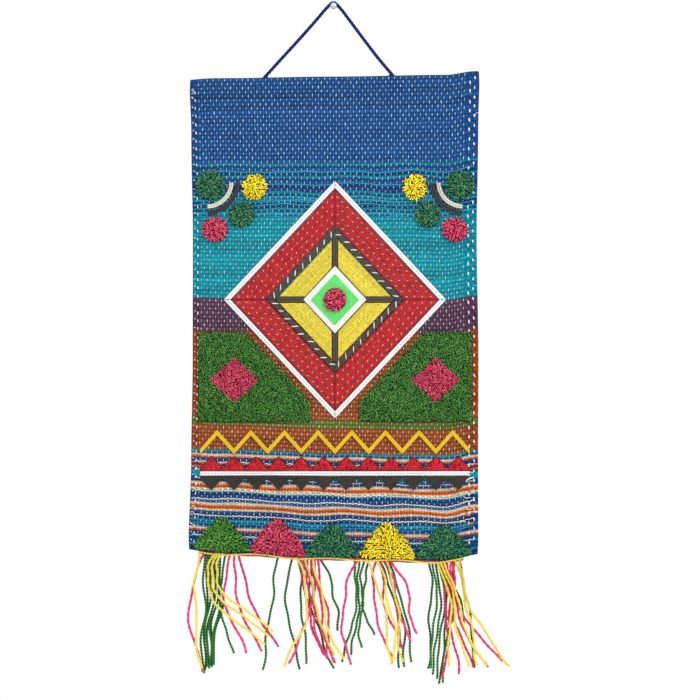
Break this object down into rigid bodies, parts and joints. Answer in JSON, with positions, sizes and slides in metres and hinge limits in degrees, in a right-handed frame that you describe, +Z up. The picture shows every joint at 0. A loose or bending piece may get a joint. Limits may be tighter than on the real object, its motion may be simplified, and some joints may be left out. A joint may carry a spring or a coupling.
{
  "type": "jute wall hanging with its wall screw",
  "caption": "Woven jute wall hanging with geometric braid, felt and pile appliqué, a yarn fringe and a hanging cord over a wall screw.",
  "frame": {"origin": "the wall screw's axis at the wall, where the screw leaves the wall; the wall is the plane Y = 0", "axes": "+Z up, +Y into the wall, +X to the right when the hanging is seen from the front; the front faces -Y"},
  "size_m": [0.343, 0.0209, 0.7267],
  "materials": {
    "woven_cloth": "coarse plain weave of dyed jute with off-white warp, in horizontal colour bands",
    "screw": "zinc-plated steel",
    "cord": "navy twisted cord",
    "white_braid": "flat white braid",
    "white_felt": "white felt",
    "charcoal_braid": "charcoal-brown braid with white whip stitches",
    "charcoal_cord": "charcoal couched cord",
    "cream_cord": "cream couched cord",
    "red_yarn": "laid red yarn held by small light stitches",
    "yellow_yarn": "laid yellow yarn",
    "gold_braid": "gold-yellow braid",
    "black_felt": "black felt",
    "red_felt": "red felt",
    "green_felt": "bright green felt",
    "green_pile": "cut wool pile, mid green",
    "dark_green_pile": "cut wool pile, dark green",
    "magenta_pile": "cut wool pile, magenta",
    "yellow_pile": "cut wool pile, yellow",
    "green_yarn": "green twisted yarn",
    "magenta_yarn": "magenta smooth yarn",
    "pale_yellow_yarn": "yellow smooth yarn"
  },
  "bodies": {
    "root": {"cloth": "woven_cloth", "wall_screw": "screw", "hanging_cord": "cord", "white_braid_upper_right": "white_braid", "white_braid_lower_right": "white_braid", "white_braid_lower_left": "white_braid", "white_braid_upper_left": "white_braid", "red_panel_upper_right": "red_yarn", "red_panel_lower_right": "red_yarn", "red_panel_lower_left": "red_yarn", "red_panel_upper_left": "red_yarn", "charcoal_braid_upper_right": "charcoal_braid", "charcoal_braid_lower_right": "charcoal_braid", "charcoal_braid_lower_left": "charcoal_braid", "charcoal_braid_upper_left": "charcoal_braid", "yellow_panel_upper_right": "yellow_yarn", "yellow_panel_lower_right": "yellow_yarn", "yellow_panel_lower_left": "yellow_yarn", "yellow_panel_upper_left": "yellow_yarn", "bar_top": "charcoal_braid", "bar_right": "charcoal_braid", "bar_bottom": "charcoal_braid", "bar_left": "charcoal_braid", "centre_white_felt": "white_felt", "centre_green_felt": "green_felt", "centre_button": "magenta_pile", "fan_rosette_right": "dark_green_pile", "fan_rosette_left": "dark_green_pile", "fan_cream_cord_right": "cream_cord", "fan_cream_cord_left": "cream_cord", "fan_charcoal_cord_right": "charcoal_cord", "fan_charcoal_cord_left": "charcoal_cord", "fan_tuft_yellow_right": "yellow_pile", "fan_tuft_yellow_left": "yellow_pile", "fan_tuft_green_right": "dark_green_pile", "fan_tuft_green_left": "dark_green_pile", "fan_tuft_magenta_right": "magenta_pile", "fan_tuft_magenta_left": "magenta_pile", "pile_field_right": "green_pile", "pile_field_left": "green_pile", "gold_zigzag": "gold_braid", "white_rail": "white_braid", "red_sawteeth": "red_felt", "black_sawteeth": "black_felt", "mound_green": "green_pile", "mound_magenta": "magenta_pile", "mound_dark_green": "dark_green_pile", "mound_yellow": "yellow_pile", "mound_deep_green": "dark_green_pile", "fringe_green": "green_yarn", "fringe_magenta": "magenta_yarn", "fringe_yellow": "pale_yellow_yarn"}
  },
  "joints": []
}
